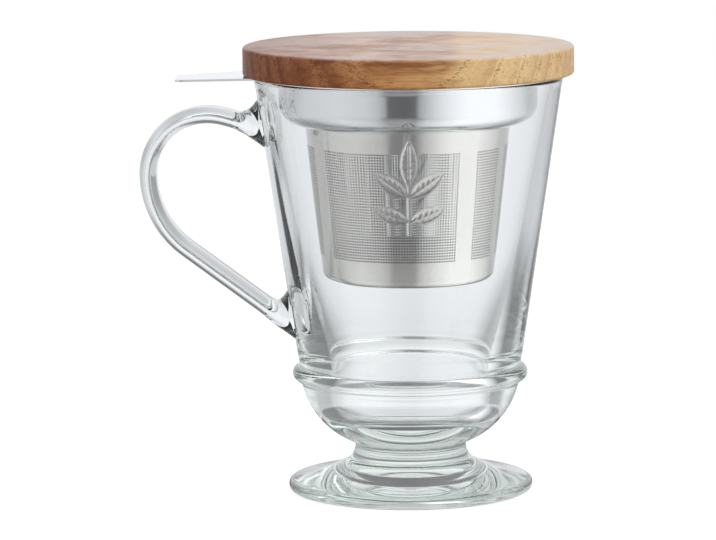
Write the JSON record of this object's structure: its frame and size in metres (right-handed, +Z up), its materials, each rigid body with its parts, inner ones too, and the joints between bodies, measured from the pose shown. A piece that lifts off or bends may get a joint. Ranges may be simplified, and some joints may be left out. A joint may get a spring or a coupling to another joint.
{
  "type": "lidded tea mug with infuser",
  "caption": "Footed glass mug with a strap handle, a lift-out perforated steel infuser with a finger tab, and a loose oak lid with a locating boss.",
  "frame": {"origin": "middle of the foot on the surface it stands on, on the mug's own axis", "axes": "+Z up along the mug's axis; the handle and the infuser's tab point along -X; the sprig in relief faces -Y"},
  "size_m": [0.1251, 0.095, 0.129],
  "materials": {
    "glass": "clear pressed soda-lime glass, fire polished",
    "polished_steel": "fine polished stainless sheet with faint spinning lines",
    "satin_steel": "satin stainless sheet, etched with square rows of fine holes",
    "silicone": "translucent food-grade silicone",
    "oak": "oiled oak, open grain"
  },
  "bodies": {
    "mug": {"mug_foot": "glass", "mug_bowl": "glass", "mug_handle": "glass"},
    "infuser": {"infuser_collar": "polished_steel", "lift_tab": "polished_steel", "basket_wall": "satin_steel", "basket_floor": "satin_steel"},
    "seal": {"seal_ring": "silicone"},
    "lid": {"lid_disc": "oak"}
  },
  "joints": [
    {"name": "infuser_lift", "type": "slide", "parent": "mug", "child": "infuser", "axis": [0, 0, 1], "range_m": [0, 0.075]},
    {"name": "lid_lift", "type": "slide", "parent": "infuser", "child": "seal", "axis": [0, 0, 1], "range_m": [0, 0.03]},
    {"name": "lid_turn", "type": "hinge", "parent": "seal", "child": "lid", "pos_m": [0, 0, 0.1208], "axis": [0, 0, 1], "continuous": true}
  ]
}
